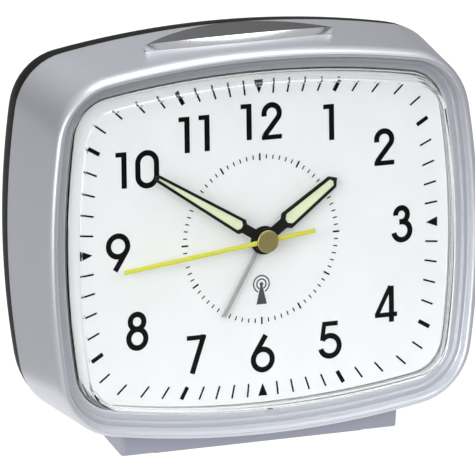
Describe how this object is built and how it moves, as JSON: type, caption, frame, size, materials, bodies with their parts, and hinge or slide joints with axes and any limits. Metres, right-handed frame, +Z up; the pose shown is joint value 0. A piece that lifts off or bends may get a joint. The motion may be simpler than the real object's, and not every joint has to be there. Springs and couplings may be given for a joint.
{
  "type": "analog alarm clock",
  "caption": "Free-standing alarm clock with hands in a softly squared silver case that leans back on a plinth, with a press bar on top and setting controls behind.",
  "frame": {"origin": "on the resting surface, under the middle of the bounding box", "axes": "+Z up, +X to the right of someone facing the dial, +Y from the dial to the back"},
  "size_m": [0.111, 0.0518, 0.0927],
  "materials": {
    "silver_paint": "satin silver paint",
    "clear_plastic": "clear polished plastic",
    "dial_white": "matt white with black print",
    "moulding": "natural plastic",
    "foot_silver": "satin lilac-silver paint",
    "black_plastic": "fine-grained black",
    "hand_black": "satin black",
    "luminous_paint": "matt luminous paint",
    "yellow_paint": "satin yellow",
    "brass": "brushed",
    "steel": "plain",
    "ferrite": "sintered",
    "copper_wire": "enamelled",
    "board_green": "solder mask",
    "gear_plastic": "natural plastic",
    "pad_rubber": "matt"
  },
  "bodies": {
    "clock": {"front_case": "silver_paint", "lens": "clear_plastic", "dial": "dial_white", "dial_frame": "moulding", "movement_front_plate": "moulding", "movement_middle_plate": "moulding", "movement_case": "moulding", "minute_motor_stator": "steel", "minute_motor_coil": "copper_wire", "second_motor_stator": "steel", "second_motor_coil": "copper_wire", "rear_cover": "black_plastic", "battery_cell": "steel", "battery_plus_contact": "steel", "battery_minus_spring": "steel", "control_board": "board_green", "sounder": "brass", "circuit_board": "board_green", "snooze_switch": "black_plastic", "clock_crystal": "steel", "dial_lamp": "clear_plastic", "aerial_rod": "ferrite", "aerial_winding": "copper_wire", "case_screw_1": "steel", "case_screw_2": "steel", "case_screw_3": "steel", "case_screw_4": "steel", "movement_screw_left": "steel", "movement_screw_right": "steel", "snooze_spring_left": "steel", "snooze_spring_right": "steel", "foot": "foot_silver", "foot_screw_left": "steel", "foot_screw_right": "steel", "foot_pad_front": "pad_rubber", "foot_pad_rear": "pad_rubber"},
    "second_hand_arbor": {"second_wheel": "gear_plastic", "second_hand": "yellow_paint", "second_hand_cap": "brass"},
    "second_intermediate": {"second_intermediate_wheel": "gear_plastic"},
    "second_rotor": {"second_motor_rotor": "steel"},
    "minute_hand_tube": {"minute_wheel": "gear_plastic", "minute_hand": "hand_black", "minute_hand_lume": "luminous_paint"},
    "minute_intermediate": {"minute_intermediate_wheel": "gear_plastic"},
    "minute_rotor": {"minute_motor_rotor": "steel"},
    "motion_work": {"motion_wheel": "gear_plastic"},
    "hour_hand_tube": {"hour_wheel": "gear_plastic", "hour_hand": "hand_black", "hour_hand_lume": "luminous_paint"},
    "alarm_hand_tube": {"alarm_wheel": "gear_plastic", "alarm_hand": "steel"},
    "alarm_setting": {"alarm_setting_shaft": "gear_plastic", "alarm_knob": "black_plastic"},
    "snooze": {"snooze_bar": "silver_paint"},
    "time_set": {"time_set_button": "black_plastic"},
    "reception": {"reception_button": "black_plastic"},
    "reset": {"reset_button": "black_plastic"},
    "alarm_switch": {"alarm_slider": "steel"},
    "door": {"battery_door": "black_plastic"}
  },
  "joints": [
    {"name": "second_spin", "type": "hinge", "parent": "clock", "child": "second_hand_arbor", "pos_m": [0, -0.01424, 0.0473], "axis": [0, 0.9863, -0.165], "continuous": true},
    {"name": "second_intermediate_spin", "type": "hinge", "parent": "clock", "child": "second_intermediate", "pos_m": [-0.00146, -0.01561, 0.03914], "axis": [0, 0.9863, -0.165], "continuous": true},
    {"name": "second_rotor_spin", "type": "hinge", "parent": "clock", "child": "second_rotor", "pos_m": [-0.00271, -0.01678, 0.03215], "axis": [0, 0.9863, -0.165], "continuous": true},
    {"name": "minute_spin", "type": "hinge", "parent": "clock", "child": "minute_hand_tube", "pos_m": [0, -0.01424, 0.0473], "axis": [0, 0.9863, -0.165], "continuous": true},
    {"name": "minute_intermediate_spin", "type": "hinge", "parent": "clock", "child": "minute_intermediate", "pos_m": [0.0042, -0.01304, 0.05447], "axis": [0, 0.9863, -0.165], "continuous": true},
    {"name": "minute_rotor_spin", "type": "hinge", "parent": "clock", "child": "minute_rotor", "pos_m": [0.0078, -0.01201, 0.06062], "axis": [0, 0.9863, -0.165], "continuous": true},
    {"name": "motion_spin", "type": "hinge", "parent": "clock", "child": "motion_work", "pos_m": [0.01039, -0.01523, 0.04138], "axis": [0, 0.9863, -0.165], "continuous": true},
    {"name": "hour_spin", "type": "hinge", "parent": "clock", "child": "hour_hand_tube", "pos_m": [0, -0.01424, 0.0473], "axis": [0, 0.9863, -0.165], "continuous": true},
    {"name": "alarm_setting_spin", "type": "hinge", "parent": "clock", "child": "alarm_setting", "pos_m": [-0.01299, -0.013, 0.0547], "axis": [0, 0.9863, -0.165], "continuous": true},
    {"name": "alarm_hand_spin", "type": "hinge", "parent": "clock", "child": "alarm_hand_tube", "pos_m": [0, -0.01424, 0.0473], "axis": [0, 0.9863, -0.165], "continuous": true},
    {"name": "snooze_press", "type": "slide", "parent": "clock", "child": "snooze", "axis": [0, 0, -1], "range_m": [0, 0.0012], "stiffness_N_per_m": 600, "deforming": ["snooze_spring_left", "snooze_spring_right"]},
    {"name": "time_set_press", "type": "slide", "parent": "clock", "child": "time_set", "axis": [0, -0.9863, 0.165], "range_m": [0, 0.0008], "stiffness_N_per_m": 300},
    {"name": "reception_press", "type": "slide", "parent": "clock", "child": "reception", "axis": [0, -0.9863, 0.165], "range_m": [0, 0.0008], "stiffness_N_per_m": 300},
    {"name": "reset_press", "type": "slide", "parent": "clock", "child": "reset", "axis": [0, -0.9863, 0.165], "range_m": [0, 0.0008], "stiffness_N_per_m": 300},
    {"name": "alarm_switch_slide", "type": "slide", "parent": "clock", "child": "alarm_switch", "axis": [1, 0, 0], "range_m": [0, 0.004]},
    {"name": "battery_door_swing", "type": "hinge", "parent": "clock", "child": "door", "pos_m": [0, 0.01509, 0.01583], "axis": [-1, 0, 0], "range_deg": [0, 100]}
  ],
  "couplings": [
    {"joint": "second_intermediate_spin", "follows": "second_spin", "ratio": -6},
    {"joint": "second_rotor_spin", "follows": "second_spin", "ratio": 30},
    {"joint": "minute_intermediate_spin", "follows": "minute_spin", "ratio": -6},
    {"joint": "minute_rotor_spin", "follows": "minute_spin", "ratio": 30},
    {"joint": "motion_spin", "follows": "minute_spin", "ratio": -0.33333},
    {"joint": "hour_spin", "follows": "minute_spin", "ratio": 0.083333},
    {"joint": "alarm_hand_spin", "follows": "alarm_setting_spin", "ratio": -0.5}
  ]
}
